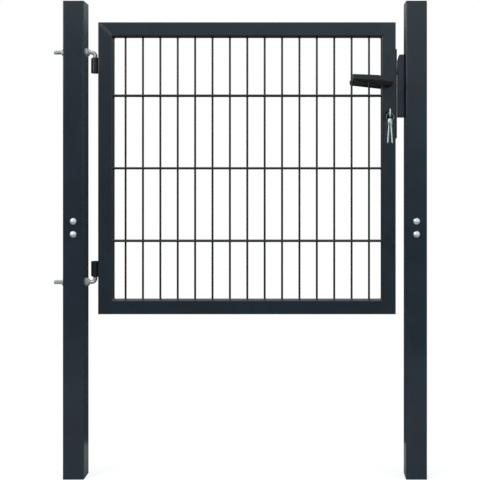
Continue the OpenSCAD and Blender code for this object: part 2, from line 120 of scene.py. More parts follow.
def seen_directly(tree, mirrored):
    """A factor that is 1 for what the camera or clear glass sees, and the mirrored share in gloss."""
    rays = add(tree, "ShaderNodeLightPath").outputs
    mirror = add(tree, "ShaderNodeMath", {0: rays["Is Glossy Ray"], 1: mirrored}, operation="MULTIPLY")
    eye = add(tree, "ShaderNodeMath", {0: rays["Is Camera Ray"], 1: mirror}, operation="MAXIMUM")
    return add(tree, "ShaderNodeMath", {0: eye, 1: rays["Is Transmission Ray"]}, operation="MAXIMUM")


# What gloss sees: walls that turn into the ceiling 7 to 10 degrees above the horizon, lower in front
# and, there, lower on the right. The ramp runs over the sine of that angle, from its horizon.
ceiling_forward = radians(2)
front_wall_slant = 0.13
ramp_horizon = 0.2
white_in_gloss = 0.03
world = bpy.data.worlds.new("studio")
world.use_nodes = True
scene.world = world
studio = world.node_tree
studio.nodes.clear()
direction = add(studio, "ShaderNodeTexCoord").outputs["Generated"]
tilt = {"Vector": direction, "Rotation": (-ceiling_forward, 0, 0), "Location": (0, 0, ramp_horizon)}
tilted = add(studio, "ShaderNodeMapping", tilt)
way = add(studio, "ShaderNodeSeparateXYZ", {0: tilted}).outputs
frontness = add(studio, "ShaderNodeMath", {0: 1.0, 1: way["Y"]}, operation="SUBTRACT")
slant = add(studio, "ShaderNodeMath", {0: frontness, 1: way["X"]}, operation="MULTIPLY")
slanted = {0: slant, 1: front_wall_slant, 2: way["Z"]}
height = add(studio, "ShaderNodeMath", slanted, operation="MULTIPLY_ADD")
walls_and_ceiling = add(
    studio,
    "ShaderNodeValToRGB",
    {"Fac": height},
    stops=(
        (ramp_horizon - 0.08, "#232628"),
        (1.0, "#E9F3F4"),
        (ramp_horizon + 0.02, "#35383A"),
        (ramp_horizon + 0.12, "#404445"),
        (ramp_horizon + 0.175, "#BECACC"),
        (ramp_horizon + 0.35, "#D2DEE0"),
    ),
)
surround = add(studio, "ShaderNodeBackground", {"Color": walls_and_ceiling, "Strength": 1.0})
white = add(studio, "ShaderNodeBackground", {"Color": (1, 1, 1, 1), "Strength": 1.0})
seen_white = seen_directly(studio, white_in_gloss)
shown = add(studio, "ShaderNodeMixShader", {0: seen_white, 1: surround, 2: white})
add(studio, "ShaderNodeOutputWorld", {"Surface": shown})

# The floor's glow lifts it to white for the camera alone, and its matt part keeps the posts' shadow.
floor_reach = 1.6
floor_front, floor_back = -1.7, 0.3
floor_glow_strength = 0.74
floor_corners = [
    (gate_middle.x + side * floor_reach, y, cad_low.z)
    for side, y in ((-1, floor_front), (1, floor_front), (1, floor_back), (-1, floor_back))
]
floor_mesh = bpy.data.meshes.new("floor")
floor_mesh.from_pydata(floor_corners, [], [(0, 1, 2, 3)])
floor = placed("floor", floor_mesh)
floor_paint = bpy.data.materials.new("pale_studio_floor")
floor_paint.use_nodes = True
paint = floor_paint.node_tree
paint.nodes.clear()
floor_matt = add(paint, "ShaderNodeBsdfDiffuse", {"Color": linear("#7C7C7C")})
floor_glow = add(paint, "ShaderNodeEmission", {"Strength": floor_glow_strength})
floor_white = add(paint, "ShaderNodeAddShader", {0: floor_matt, 1: floor_glow})
seen_white = seen_directly(paint, 0.0)
floor_seen = add(paint, "ShaderNodeMixShader", {0: seen_white, 1: floor_matt, 2: floor_white})
add(paint, "ShaderNodeOutputMaterial", {"Surface": floor_seen})
floor_mesh.materials.append(floor_paint)

for name, place, width, watts in (
    ("key_lamp", (-2.9, -2.3, 3.0), 3.4, 155),
    ("fill_lamp", (3.9, -2.1, 2.2), 3.4, 122),
    ("back_lamp", (0.4, 2.6, 2.8), 2.4, 60),
):
    lamp_data = bpy.data.lights.new(name, "AREA")
    lamp_data.size = width
    lamp_data.energy = watts
    lamp = placed(name, lamp_data)
    lamp.location = place
    lamp.rotation_euler = (gate_middle - Vector(place)).to_track_quat("-Z", "Y").to_euler()
    lamp.visible_glossy = name == "key_lamp"

# ---- Posts ----
# Two lengths of 60 mm square steel tube, zinc coated and then powder coated in anthracite grey.
# The tube is roll formed, so its long edges are rounded, and it is sawn square at the foot.


def new_material(name):
    """An empty material, its tree, and the object coordinates that its patterns read."""
    material = bpy.data.materials.new(name)
    material.use_nodes = True
    tree = material.node_tree
    tree.nodes.clear()
    return material, tree, add(tree, "ShaderNodeTexCoord").outputs["Object"]


def surface(tree, inputs):
    """Ends a material's tree with its shader, whose inputs are values or links."""
    shader = add(tree, "ShaderNodeBsdfPrincipled", inputs)
    add(tree, "ShaderNodeOutputMaterial", {"Surface": shader})


def powder_coat(name, thin, thick, roughness=0.22, peel=0.004, peel_depth=0.000003):
    """Polyester powder baked on steel: an even satin film, whose tone and gloss drift a little.

    Its orange peel has waves of 1 to 3 mm. They are drawn up to 4 mm wide, so that they show.
    """
    film_patch = 0.11
    gloss_patch = 0.018
    gloss_drift = 0.05
    material, tree, place = new_material(name)
    film = add(tree, "ShaderNodeTexNoise", {"Vector": place, "Scale": 1 / film_patch, "Detail": 3.0})
    tone = add(tree, "ShaderNodeValToRGB", {"Fac": film}, stops=((0.35, thin), (0.65, thick)))
    cloud = add(tree, "ShaderNodeTexNoise", {"Vector": place, "Scale": 1 / gloss_patch, "Detail": 2.0})
    drift = {"Value": cloud, "To Min": roughness - gloss_drift, "To Max": roughness + gloss_drift}
    gloss = add(tree, "ShaderNodeMapRange", drift)
    skin = add(tree, "ShaderNodeTexNoise", {"Vector": place, "Scale": 1 / peel, "Detail": 1.0})
    bump = add(tree, "ShaderNodeBump", {"Height": skin, "Distance": peel_depth, "Strength": 0.8})
    surface(tree, {"Base Color": tone, "Roughness": gloss, "Normal": bump, "IOR": 1.5})
    return material


def dress(material, *nodes):
    """Gives CAD nodes a material in place of their own."""
    for node in nodes:
        for material_slot in frame["nodes"][node].material_slots:
            material_slot.material = material


# Anthracite powder: a dark blue-grey with wide soft reflections.
post_coat = powder_coat("anthracite_powder_coat_on_post", thin="#1F272F", thick="#232C34")
dress(post_coat, "hinge_post", "latch_post")

# ---- Post caps ----
# Black polyethylene caps pressed into the tubes. They are moulded with a slightly crowned top and
# softened rims, and a skirt inside the tube holds them.


def moulded_plastic(name, dull, bright, roughness, grain, grain_depth):
    """Moulded plastic: one colour all through, and an even grain from the mould that softens its shine.

    A real grain is 0.1 to 0.3 mm wide. It is drawn about 1 mm wide, so that it shows.
    """
    flow_patch = 0.03
    material, tree, place = new_material(name)
    flow = add(tree, "ShaderNodeTexNoise", {"Vector": place, "Scale": 1 / flow_patch, "Detail": 2.0})
    tone = add(tree, "ShaderNodeValToRGB", {"Fac": flow}, stops=((0.3, dull), (0.7, bright)))
    pits = add(tree, "ShaderNodeTexVoronoi", {"Vector": place, "Scale": 1 / grain})
    bump = add(tree, "ShaderNodeBump", {"Height": pits, "Distance": grain_depth, "Strength": 0.7})
    surface(tree, {"Base Color": tone, "Roughness": roughness, "Normal": bump, "IOR": 1.51})
    return material


def eased(corners, cuts, steps=5):
    """An outline through corners, each rounded by a short curve that starts a cut's length before it."""
    points = []
    for k, corner in enumerate(corners):
        before = Vector(corners[k - 1]) - Vector(corner)
        after = Vector(corners[(k + 1) % len(corners)]) - Vector(corner)
        cut = cuts[k] if isinstance(cuts, list) else cuts
        start = Vector(corner) + before.normalized() * min(cut, before.length / 2)
        end = Vector(corner) + after.normalized() * min(cut, after.length / 2)
        for step in range(steps + 1):
            t = step / steps
            points.append(start * (1 - t) ** 2 + Vector(corner) * 2 * t * (1 - t) + end * t**2)
    return points


def mesh_of(name, shape):
    """A new mesh with what was built in a bmesh, which is freed."""
    mesh = bpy.data.meshes.new(name)
    shape.to_mesh(mesh)
    shape.free()
    return mesh


def loft(name, rings, joined=False):
    """A closed mesh through rings of points: filled at both ends, or joined from the last to the first."""
    shape = bmesh.new()
    rows = [[shape.verts.new(point) for point in ring] for ring in rings]
    count = len(rows[0])
    pairs = list(zip(rows, rows[1:])) + ([(rows[-1], rows[0])] if joined else [])
    for low, high in pairs:
        for k in range(count):
            shape.faces.new((low[k], low[(k + 1) % count], high[(k + 1) % count], high[k]))
    if not joined:
        shape.faces.new(rows[0])
        shape.faces.new(rows[-1])
    bmesh.ops.recalc_face_normals(shape, faces=shape.faces)
    return mesh_of(name, shape)


def piece(name, mesh, material, body, slot, *nodes, crease=32):
    """Makes a finished mesh a piece: smooth between its creases, on its body, in place of CAD nodes."""
    made = placed(name, mesh)
    mesh.materials.clear()
    mesh.materials.append(material)
    mesh.shade_smooth()
    mesh.set_sharp_from_angle(angle=radians(crease))
    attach(made, body)
    if nodes:
        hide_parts(*nodes)


# Polyethylene: nearly black, and duller than the coat below it.
cap_plastic = moulded_plastic(
    "moulded_black_polyethylene", "#15181B", "#1A1D21", roughness=0.45, grain=0.0011, grain_depth=0.00004
)
post_corner = 0.0045
tube_wall = 0.002
cap_least_corner = 0.001
cap_rim = 0.0012
cap_crown = 0.0006
crown_foot_inset = 0.012
crown_top_inset = 0.025
skirt_play = 0.0001
skirt_wall = 0.002
skirt_out = tube_wall + skirt_play
skirt_in = skirt_out + skirt_wall


def cap_ring(middle, half, inset, z):
    """A level ring of a cap, set in from its square outline."""
    reach = half - inset
    corners = [(reach, reach), (-reach, reach), (-reach, -reach), (reach, -reach)]
    outline = eased(corners, max(post_corner - inset, cap_least_corner))
    return [Vector((middle.x + p.x, middle.y + p.y, z)) for p in outline]


for node in ("hinge_post_cap", "latch_post_cap"):
    low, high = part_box(node)
    seat_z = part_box(node.replace("_cap", ""))[1].z
    rim_z = high.z - cap_crown
    skirt = [(skirt_in, low.z), (skirt_out, low.z), (skirt_out, seat_z), (0, seat_z)]
    rim = [(0, rim_z - cap_rim), (cap_rim * 0.3, rim_z - cap_rim * 0.3), (cap_rim, rim_z)]
    crown = [(crown_foot_inset, rim_z + cap_crown * 0.7), (crown_top_inset, high.z)]
    middle, half = (low + high) / 2, (high.x - low.x) / 2
    rings = [cap_ring(middle, half, inset, z) for inset, z in skirt + rim + crown]
    piece(node + "_moulding", loft(node, rings), cap_plastic, "posts", "cap_plastic", node)

# ---- Dome bolts ----
# Cup-head bolts of steel, cold headed and bright zinc plated. The header leaves a small dimple in
# the middle of the dome. Their shanks pass through the post's front wall.


def metal_plate(name, dark, light, roughness, patch=0.006, metal=1.0):
    """Plated metal: a little cloudy in tone and gloss, its highlights broken by fine handling marks.

    Real marks are 0.1 to 0.5 mm wide. They are drawn 1.2 mm wide, so that they show.
    """
    mark_width = 0.0012
    mark_depth = 0.00002
    material, tree, place = new_material(name)
    cloud = add(tree, "ShaderNodeTexNoise", {"Vector": place, "Scale": 1 / patch, "Detail": 4.0})
    tone = add(tree, "ShaderNodeValToRGB", {"Fac": cloud}, stops=((0.3, dark), (0.65, light)))
    drift = {"Value": cloud, "To Min": roughness + 0.1, "To Max": roughness - 0.08}
    gloss = add(tree, "ShaderNodeMapRange", drift)
    marks = add(tree, "ShaderNodeTexNoise", {"Vector": place, "Scale": 1 / mark_width, "Detail": 2.0})
    bump = add(tree, "ShaderNodeBump", {"Height": marks, "Distance": mark_depth, "Strength": 0.6})
    surface(tree, {"Base Color": tone, "Roughness": gloss, "Normal": bump, "Metallic": metal})
    return material


def round_turns(count):
    """Even angles round a circle."""
    return [2 * pi * k / count for k in range(count)]


def polar(radius, angle, height=0.0):
    """A point at a radius and an angle round Z."""
    return Vector((radius * cos(angle), radius * sin(angle), height))


def turned(profile, count=40):
    """Rings round Z for a profile of radius and height pairs."""
    return [[polar(r, a, h) for a in round_turns(count)] for r, h in profile]


def evaluated_mesh(name, carrier):
    """The plain mesh of an object with its modifiers or its curve worked out. The object goes."""
    depsgraph = bpy.context.evaluated_depsgraph_get()
    mesh = bpy.data.meshes.new_from_object(carrier.evaluated_get(depsgraph), depsgraph=depsgraph)
    carrier.modifiers.clear()
    bpy.data.objects.remove(carrier)
    mesh.name = name
    return mesh


def grown(name, build, material, sizes, path=None):
    """The plain mesh of a geometry tree: build gets the tree and its inputs and returns its last node."""
    kinds = {int: "Int", float: "Float", Vector: "Vector", bpy.types.Object: "Object"}
    tree = bpy.data.node_groups.new(name, "GeometryNodeTree")
    tree.interface.new_socket("Path", in_out="INPUT", socket_type="NodeSocketGeometry")
    named = {}
    for label, value in sizes.items():
        kind = "NodeSocket" + kinds[type(value)]
        named[label] = tree.interface.new_socket(label, in_out="INPUT", socket_type=kind)
    tree.interface.new_socket("Geometry", in_out="OUTPUT", socket_type="NodeSocketGeometry")
    made = build(tree, add(tree, "NodeGroupInput").outputs)
    real = add(tree, "GeometryNodeRealizeInstances", {"Geometry": made})
    dressed = add(tree, "GeometryNodeSetMaterial", {"Geometry": real, "Material": material})
    add(tree, "NodeGroupOutput", {"Geometry": dressed})
    carrier = placed(name + "_tree", path or bpy.data.meshes.new(name + "_path"))
    modifier = carrier.modifiers.new(name, "NODES")
    modifier.node_group = tree
    for label, socket in named.items():
        modifier[socket.identifier] = sizes[label]
    return evaluated_mesh(name, carrier)


def copied_shape(tree, size):
    """A shape at each point of the path, turned from Z to face the point's own direction."""
    held = add(tree, "GeometryNodeObjectInfo", {"Object": size["Shape"]}).outputs["Geometry"]
    aim = add(tree, "GeometryNodeInputNamedAttribute", {"Name": "facing"}, data_type="FLOAT_VECTOR")
    turn = add(tree, "FunctionNodeAlignRotationToVector", {"Vector": aim}, axis="Z")
    copies = {"Points": size["Path"], "Instance": held, "Rotation": turn}
    return add(tree, "GeometryNodeInstanceOnPoints", copies)


def set_out(name, shape, material, places):
    """One mesh of a shape drawn along Z, set at each place and turned to face its direction."""
    spots = bpy.data.meshes.new(name + "_spots")
    spots.from_pydata([place for place, _ in places], [], [])
    facing = spots.attributes.new("facing", "FLOAT_VECTOR", "POINT")
    for item, (_, direction) in zip(facing.data, places):
        item.vector = direction
    pattern = placed(name + "_pattern", shape)
    mesh = grown(name, copied_shape, material, {"Shape": pattern}, path=spots)
    bpy.data.objects.remove(pattern)
    return mesh


# Bright zinc: a bluish white metal. It is part metallic, as its clear film scatters some light.
bright_zinc = metal_plate("bright_zinc_plate", dark="#C4C9CD", light="#ECEFF1", roughness=0.32, metal=0.55)
dimple_radius = 0.0016
dimple_depth = 0.0006
dome_rim = 0.0006
bolt_shank_radius = 0.004
bolt_chamfer = 0.0006


def zinc_fixings(name, shape, places, body, node):
    """Zinc plated fixings, set out as one piece in place of a CAD node."""
    piece(name, set_out(name, shape, bright_zinc, places), bright_zinc, body, "zinc_steel", node)


def dome_profile(radius, height):
    """Radius and height pairs over a dome, from the dimple in its middle to its rim."""
    sphere_radius = (radius**2 + height**2) / (2 * height)
    reaches = [dimple_radius] + [radius * k / 9 for k in range(3, 9)]
    dome = [(r, sqrt(sphere_radius**2 - r**2) - (sphere_radius - height)) for r in reaches]
    dimple = [(0.0004, height - dimple_depth), (dimple_radius * 0.7, height - dimple_depth * 0.7)]
    return dimple + dome + [(radius, dome_rim), (radius - 0.0002, 0)]


for post in ("hinge_post", "latch_post"):
    low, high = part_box(post + "_bolts")
    front_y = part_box(post)[0].y
    head_radius = (high.x - low.x) / 2
    shank_end = front_y - high.y
    profile = dome_profile(head_radius, front_y - low.y)
    profile += [(bolt_shank_radius, 0), (bolt_shank_radius, shank_end + bolt_chamfer)]
    profile += [(bolt_shank_radius - bolt_chamfer, shank_end)]
    bolt = loft("dome_bolt", turned(profile))
    bolt_x = (low.x + high.x) / 2
    heads = [((bolt_x, front_y, z), (0, -1, 0)) for z in (low.z + head_radius, high.z - head_radius)]
    zinc_fixings(post + "_dome_bolts", bolt, heads, "posts", post + "_bolts")

# ---- Hinge rods, nuts and washers ----
# Two M12 threaded bars, bent to a pin at one end, zinc plated and clamped through the hinge post
# by a nut and a washer on each side. The upper pin points down and the lower one up.

thread_pitch = 0.00175
thread_depth = 0.00095
thread_length = 0.103
rod_point_length = 0.0015
bend_radius = 0.011
bend_steps = 8


def joint_place(name):
    """Where a joint's axis runs."""
    return Vector(next(joint for joint in frame["joints"] if joint["name"] == name)["pos_m"])


def rolled_thread(tree, size):
    """A bar swept along the path, with a right-hand thread pressed into its straight part."""
    line = add(tree, "GeometryNodeMeshToCurve", {"Mesh": size["Path"]})
    fine = add(tree, "GeometryNodeResampleCurve", {"Curve": line, "Length": size["Step"]}, mode="LENGTH")
    section = add(tree, "GeometryNodeCurvePrimitiveCircle", {"Resolution": 28, "Radius": size["Radius"]})
    run = add(tree, "GeometryNodeSplineParameter").outputs["Length"]
    whole = add(tree, "GeometryNodeSplineLength").outputs["Length"]
    left = add(tree, "ShaderNodeMath", {0: whole, 1: run}, operation="SUBTRACT")
    nearest = add(tree, "ShaderNodeMath", {0: run, 1: left}, operation="MINIMUM")
    taper = {"Value": nearest, "From Max": size["Point length"], "To Min": 0.8}
    point = add(tree, "ShaderNodeMapRange", taper)
    swept = {"Curve": fine, "Profile Curve": section, "Scale": point, "Fill Caps": True}
    bar = add(tree, "GeometryNodeCurveToMesh", swept)
    spot = add(tree, "ShaderNodeSeparateXYZ", {0: add(tree, "GeometryNodeInputPosition")}).outputs
    rise = add(tree, "ShaderNodeMath", {0: spot["Z"], 1: size["Bar height"]}, operation="SUBTRACT")
    angle = add(tree, "ShaderNodeMath", {0: rise, 1: spot["Y"]}, operation="ARCTAN2")
    share = add(tree, "ShaderNodeMath", {0: angle, 1: 2 * pi}, operation="DIVIDE")
    turns = add(tree, "ShaderNodeMath", {0: spot["X"], 1: size["Pitch"]}, operation="DIVIDE")
    phase = add(tree, "ShaderNodeMath", {0: turns, 1: share}, operation="SUBTRACT")
    flank = add(tree, "ShaderNodeMath", {0: phase, 1: 0.5}, operation="PINGPONG")
    groove = add(tree, "ShaderNodeMapRange", {"Value": flank, "From Min": 0.08, "From Max": 0.42})
    run_out = {"Value": spot["X"], "From Min": size["Thread end"], "From Max": size["Run-out"]}
    inward = add(tree, "ShaderNodeMapRange", {**run_out, "To Min": -1.0, "To Max": 0.0})
    cut = add(tree, "ShaderNodeMath", {0: groove, 1: inward}, operation="MULTIPLY")
    depth = add(tree, "ShaderNodeMath", {0: cut, 1: size["Depth"]}, operation="MULTIPLY")
    outward = add(tree, "ShaderNodeCombineXYZ", {"Y": spot["Y"], "Z": rise})
    unit = add(tree, "ShaderNodeVectorMath", {0: outward}, operation="NORMALIZE")
    shift = add(tree, "ShaderNodeVectorMath", {0: unit, "Scale": depth}, operation="SCALE")
    return add(tree, "GeometryNodeSetPosition", {"Geometry": bar, "Offset": shift})


axis_x = joint_place("leaf_swing").x
for node in ("upper_hinge_rod", "lower_hinge_rod"):
    low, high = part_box(node)
    radius = (high.y - low.y) / 2
    upper = node.startswith("upper")
    bar_z = high.z - radius if upper else low.z + radius
    pin_z = low.z if upper else high.z
    bend_up = -bend_radius if upper else bend_radius
    bend_x = axis_x - bend_radius
    route = [Vector((low.x, 0, bar_z))]
    for k in range(bend_steps + 1):
        a = radians(90 * k / bend_steps)
        route.append(Vector((bend_x + bend_radius * sin(a), 0, bar_z + bend_up * (1 - cos(a)))))
    route.append(Vector((axis_x, 0, pin_z)))
    path = bpy.data.meshes.new(node + "_path")
    path.from_pydata(route, [(k, k + 1) for k in range(len(route) - 1)], [])
    sizes = {
        "Step": thread_pitch / 6,
        "Radius": radius,
        "Pitch": thread_pitch,
        "Depth": thread_depth,
        "Point length": rod_point_length,
        "Bar height": bar_z,
        "Thread end": low.x + thread_length,
        "Run-out": low.x + thread_length + 2 * thread_pitch,
    }
    rod = grown(node, rolled_thread, bright_zinc, sizes, path=path)
    piece(node + "_threaded", rod, bright_zinc, "posts", "zinc_steel", node, crease=50)

low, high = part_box("hinge_nuts")
washer_low, washer_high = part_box("hinge_washers")
rod_low, rod_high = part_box("upper_hinge_rod")
bore_play = 0.0001
bore_radius = (rod_high.y - rod_low.y) / 2 + bore_play
seat_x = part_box("hinge_post")[1].x
washer_thickness = washer_high.x - seat_x
washer_radius = (washer_high.y - washer_low.y) / 2
washer_edge = 0.0005
nut_thickness = high.x - washer_high.x
nut_half_flats = (high.y - low.y) / 2
nut_half_corners = nut_half_flats / cos(pi / 6)
nut_face_radius = nut_half_flats * 0.97
nut_chamfer = tan(radians(28))
nut_lead_in = 0.0006
round_steps = 48


def nut_ring(height, radius=None):
    """A ring of the nut: a circle, or the hexagon, lowered towards the middle at its corners."""
    points = []
    for a in round_turns(round_steps):
        reach = radius or nut_half_flats / cos((a % (pi / 3)) - pi / 6)
        fall = 0 if radius else (reach - nut_face_radius) * nut_chamfer
        points.append(polar(reach, a, height - fall if height > nut_thickness / 2 else height + fall))
    return points


mouth_radius = bore_radius + nut_lead_in
nut_rings = [nut_ring(nut_lead_in, bore_radius), nut_ring(0, mouth_radius), nut_ring(0, nut_face_radius)]
nut_rings += [nut_ring(0), nut_ring(nut_thickness), nut_ring(nut_thickness, nut_face_radius)]
nut_rings += [nut_ring(nut_thickness, mouth_radius), nut_ring(nut_thickness - nut_lead_in, bore_radius)]
washer_profile = [(bore_radius, 0), (washer_radius, 0), (washer_radius, washer_thickness - washer_edge)]
washer_profile += [(washer_radius - washer_edge, washer_thickness), (bore_radius, washer_thickness)]
nut = loft("hinge_nut", nut_rings, joined=True)
washer = loft("hinge_washer", turned(washer_profile, round_steps), joined=True)
seats = []
for z in (low.z + nut_half_corners, high.z - nut_half_corners):
    seats += [(Vector((side * seat_x, 0, z)), Vector((side, 0, 0))) for side in (-1, 1)]
zinc_fixings("hinge_washers_zinc", washer, seats, "posts", "hinge_washers")
nut_seats = [(seat + facing * washer_thickness, facing) for seat, facing in seats]
zinc_fixings("hinge_nuts_zinc", nut, nut_seats, "posts", "hinge_nuts")

# ---- Leaf frame ----
# Four lengths of 40 mm square tube, mitred, welded round the joints, the welds on the faces ground
# nearly flat, and powder coated with the wire mat already welded in.

# The posts' powder from another batch: the same satin, a touch less blue.
leaf_coat = powder_coat("anthracite_powder_coat_on_leaf", thin="#1F272E", thick="#232B33")
dress(leaf_coat, "top_rail", "bottom_rail", "hinge_stile", "latch_stile")


def weld_bead(tree, size):
    """Overlapping drops along the path, as a welder lays them, each a little different in size."""
    line = add(tree, "GeometryNodeMeshToCurve", {"Mesh": size["Path"]})
    stops = add(tree, "GeometryNodeResampleCurve", {"Curve": line, "Length": size["Ripple"]}, mode="LENGTH")
    drop = add(tree, "GeometryNodeMeshIcoSphere", {"Radius": size["Radius"], "Subdivisions": 3})
    sway = add(tree, "FunctionNodeRandomValue", {2: 0.88, 3: 1.12, "Seed": 7}, data_type="FLOAT")
    uneven = {0: size["Flatness"], "Scale": sway.outputs[1]}
    scale = add(tree, "ShaderNodeVectorMath", uneven, operation="SCALE")
    return add(tree, "GeometryNodeInstanceOnPoints", {"Points": stops, "Instance": drop, "Scale": scale})


def beads(name, lines, material, ripple, radius, flatness=(1, 1, 1)):
    """Weld beads along straight lines, given by their ends."""
    path = bpy.data.meshes.new(name + "_path")
    ends = [end for line in lines for end in line]
    path.from_pydata(ends, [(2 * k, 2 * k + 1) for k in range(len(lines))], [])
    sizes = {"Ripple": ripple, "Radius": radius, "Flatness": Vector(flatness)}
    return grown(name, weld_bead, material, sizes, path=path)


leaf_low, leaf_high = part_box("top_rail")
leaf_low = Vector((leaf_low.x, leaf_low.y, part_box("bottom_rail")[0].z))
mat_low, mat_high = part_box("wire_mat")
weld_reach = (leaf_high.y - leaf_low.y) * 0.36
corners = [(x, z) for x in (mat_low.x, mat_high.x) for z in (mat_low.z, mat_high.z)]
corner_lines = [[(x, -weld_reach, z), (x, weld_reach, z)] for x, z in corners]
corner_welds = beads("corner_welds", corner_lines, leaf_coat, ripple=0.0014, radius=0.0022)
piece("leaf_corner_welds", corner_welds, leaf_coat, "leaf", "leaf_paint")

# The seams on the faces are ground flush, except a slightly proud one at the upper hinge corner.
flush_seams = []
proud_seams = []
for x, x_in in ((leaf_low.x, mat_low.x), (leaf_high.x, mat_high.x)):
    for z, z_in in ((leaf_low.z, mat_low.z), (leaf_high.z, mat_high.z)):
        for y in (leaf_low.y, leaf_high.y):
            outer, inner = Vector((x, y, z)), Vector((x_in, y, z_in))
            if x == leaf_low.x and z == leaf_high.z:
                proud_seams.append([outer.lerp(inner, 0.26), outer.lerp(inner, 0.9)])
            else:
                flush_seams.append([outer.lerp(inner, 0.16), outer.lerp(inner, 0.87)])
seams = beads("flush_seams", flush_seams, leaf_coat, ripple=0.0018, radius=0.004, flatness=(1, 0.02, 1))
piece("leaf_mitre_seams", seams, leaf_coat, "leaf", "leaf_paint")
# Painted highlight: this seam is coloured paler than the tube for the streak of light it catches; it is
# also duller.
seam_coat_with_painted_highlight = powder_coat(
    "anthracite_powder_coat_on_weld_with_painted_highlight", thin="#2A333C", thick="#333D46", roughness=0.33
)
seams = beads("proud_seams", proud_seams, seam_coat_with_painted_highlight, ripple=0.0018, radius=0.005, flatness=(1, 0.055, 1))
piece("leaf_proud_seam", seams, seam_coat_with_painted_highlight, "leaf", "leaf_paint")

# ---- Wire mat ----
# Fifteen 5 mm uprights with a 6 mm rod in front and behind at three heights. The crossings are
# resistance welded, which leaves a small collar, and every end is tack welded to the frame.

# Powder on galvanised wire: darker and greener than on the tubes, with a finer peel.
wire_coat = powder_coat(
    "anthracite_powder_coat_on_wire", thin="#1E2222", thick="#222727", peel=0.002, peel_depth=0.0000015
)
wire_pitch = 0.05
upright_count = 15
row_count = 3
coat_film = 0.00045
upright_radius = 0.0025 + coat_film
rod_radius = 0.003 + coat_film
rod_y = mat_high.y - rod_radius


def welded_mat(tree, size):
    """Uprights and pairs of cross rods, with a collar where each pair grips an upright."""

    def wire(run, radius):
        core = add(tree, "GeometryNodeCurvePrimitiveLine", {"End": run})
        rim = add(tree, "GeometryNodeCurvePrimitiveCircle", {"Resolution": 18, "Radius": radius})
        swept = {"Curve": core, "Profile Curve": rim, "Fill Caps": True}
        return add(tree, "GeometryNodeCurveToMesh", swept)

    across = {"Count": size["Uprights"], "Start Location": size["First foot"], "Offset": size["Foot step"]}
    feet = add(tree, "GeometryNodeMeshLine", across)
    upright = wire(size["Upright run"], size["Wire radius"])
    parts = [add(tree, "GeometryNodeInstanceOnPoints", {"Points": feet, "Instance": upright})]
    rod = wire(size["Rod run"], size["Rod radius"])
    ball = add(tree, "GeometryNodeMeshIcoSphere", {"Radius": size["Wire radius"], "Subdivisions": 2})
    collar = add(tree, "GeometryNodeTransform", {"Geometry": ball, "Scale": size["Collar shape"]})
    for side in (-1.0, 1.0):
        rows = []
        for first, shape in ((size["First rod"], rod), (size["First collar"], collar)):
            start = add(tree, "ShaderNodeVectorMath", {0: first, 1: (1, side, 1)}, operation="MULTIPLY")
            upward = {"Count": size["Rows"], "Start Location": start, "Offset": size["Row step"]}
            line = add(tree, "GeometryNodeMeshLine", upward)
            rows.append(add(tree, "GeometryNodeInstanceOnPoints", {"Points": line, "Instance": shape}))
        rods, collars = rows
        parts += [rods, add(tree, "GeometryNodeInstanceOnPoints", {"Points": feet, "Instance": collars})]
    joined = add(tree, "GeometryNodeJoinGeometry")
    for part in reversed(parts):
        tree.links.new(part.outputs[0], joined.inputs[0])
    return joined


row_pitch = (leaf_high.z - leaf_low.z) / (row_count + 1)
first_row_z = leaf_low.z + row_pitch
first_wire_x = (leaf_low.x + leaf_high.x) / 2 - (upright_count - 1) / 2 * wire_pitch
mat_sizes = {
    "Uprights": upright_count,
    "Rows": row_count,
    "Upright run": Vector((0, 0, mat_high.z - mat_low.z)),
    "Rod run": Vector((mat_high.x - mat_low.x, 0, 0)),
    "Foot step": Vector((wire_pitch, 0, 0)),
    "Row step": Vector((0, 0, row_pitch)),
    "First foot": Vector((first_wire_x, 0, mat_low.z)),
    "First rod": Vector((mat_low.x, rod_y, first_row_z)),
    "First collar": Vector((0, rod_y / 2, first_row_z - mat_low.z)),
    "Wire radius": upright_radius,
    "Rod radius": rod_radius,
    "Collar shape": Vector((1.35, 0.75, 1.25)),
}
wires = grown("welded_wires", welded_mat, wire_coat, mat_sizes)
piece("welded_wire_mat", wires, wire_coat, "leaf", "wire_paint", "wire_mat", crease=50)

tack_profile = [(0.0042, 0), (0.00399, 0.0008), (0.0034, 0.0019), (0.0024, 0.0032), (0.001, 0.0036)]
tack = loft("tack", turned(tack_profile, 14))
tacks = []
for k in range(upright_count):
    x = first_wire_x + k * wire_pitch
    tacks += [((x, 0, mat_low.z), (0, 0, 1)), ((x, 0, mat_high.z), (0, 0, -1))]
for row in range(row_count):
    z = leaf_low.z + (row + 1) * row_pitch
    for y in (-rod_y, rod_y):
        tacks += [((mat_low.x, y, z), (1, 0, 0)), ((mat_high.x, y, z), (-1, 0, 0))]
piece("mat_tack_welds", set_out("mat_tacks", tack, wire_coat, tacks), wire_coat, "leaf", "wire_paint")

# ---- Hinge sleeves ----
# Thick-walled sleeves turned from steel bar, chamfered where the pin goes in, welded to the leaf's
# stile along a short web and coated black.

# Black powder over turned steel: darker and duller than the leaf.
sleeve_coat = powder_coat("black_powder_coat_on_sleeve", thin="#171F25", thick="#1C242B", roughness=0.3)
sleeve_chamfer = 0.0035
sleeve_edge = 0.0008
web_width = 0.01
web_setback = 0.002
web_edge = 0.0005

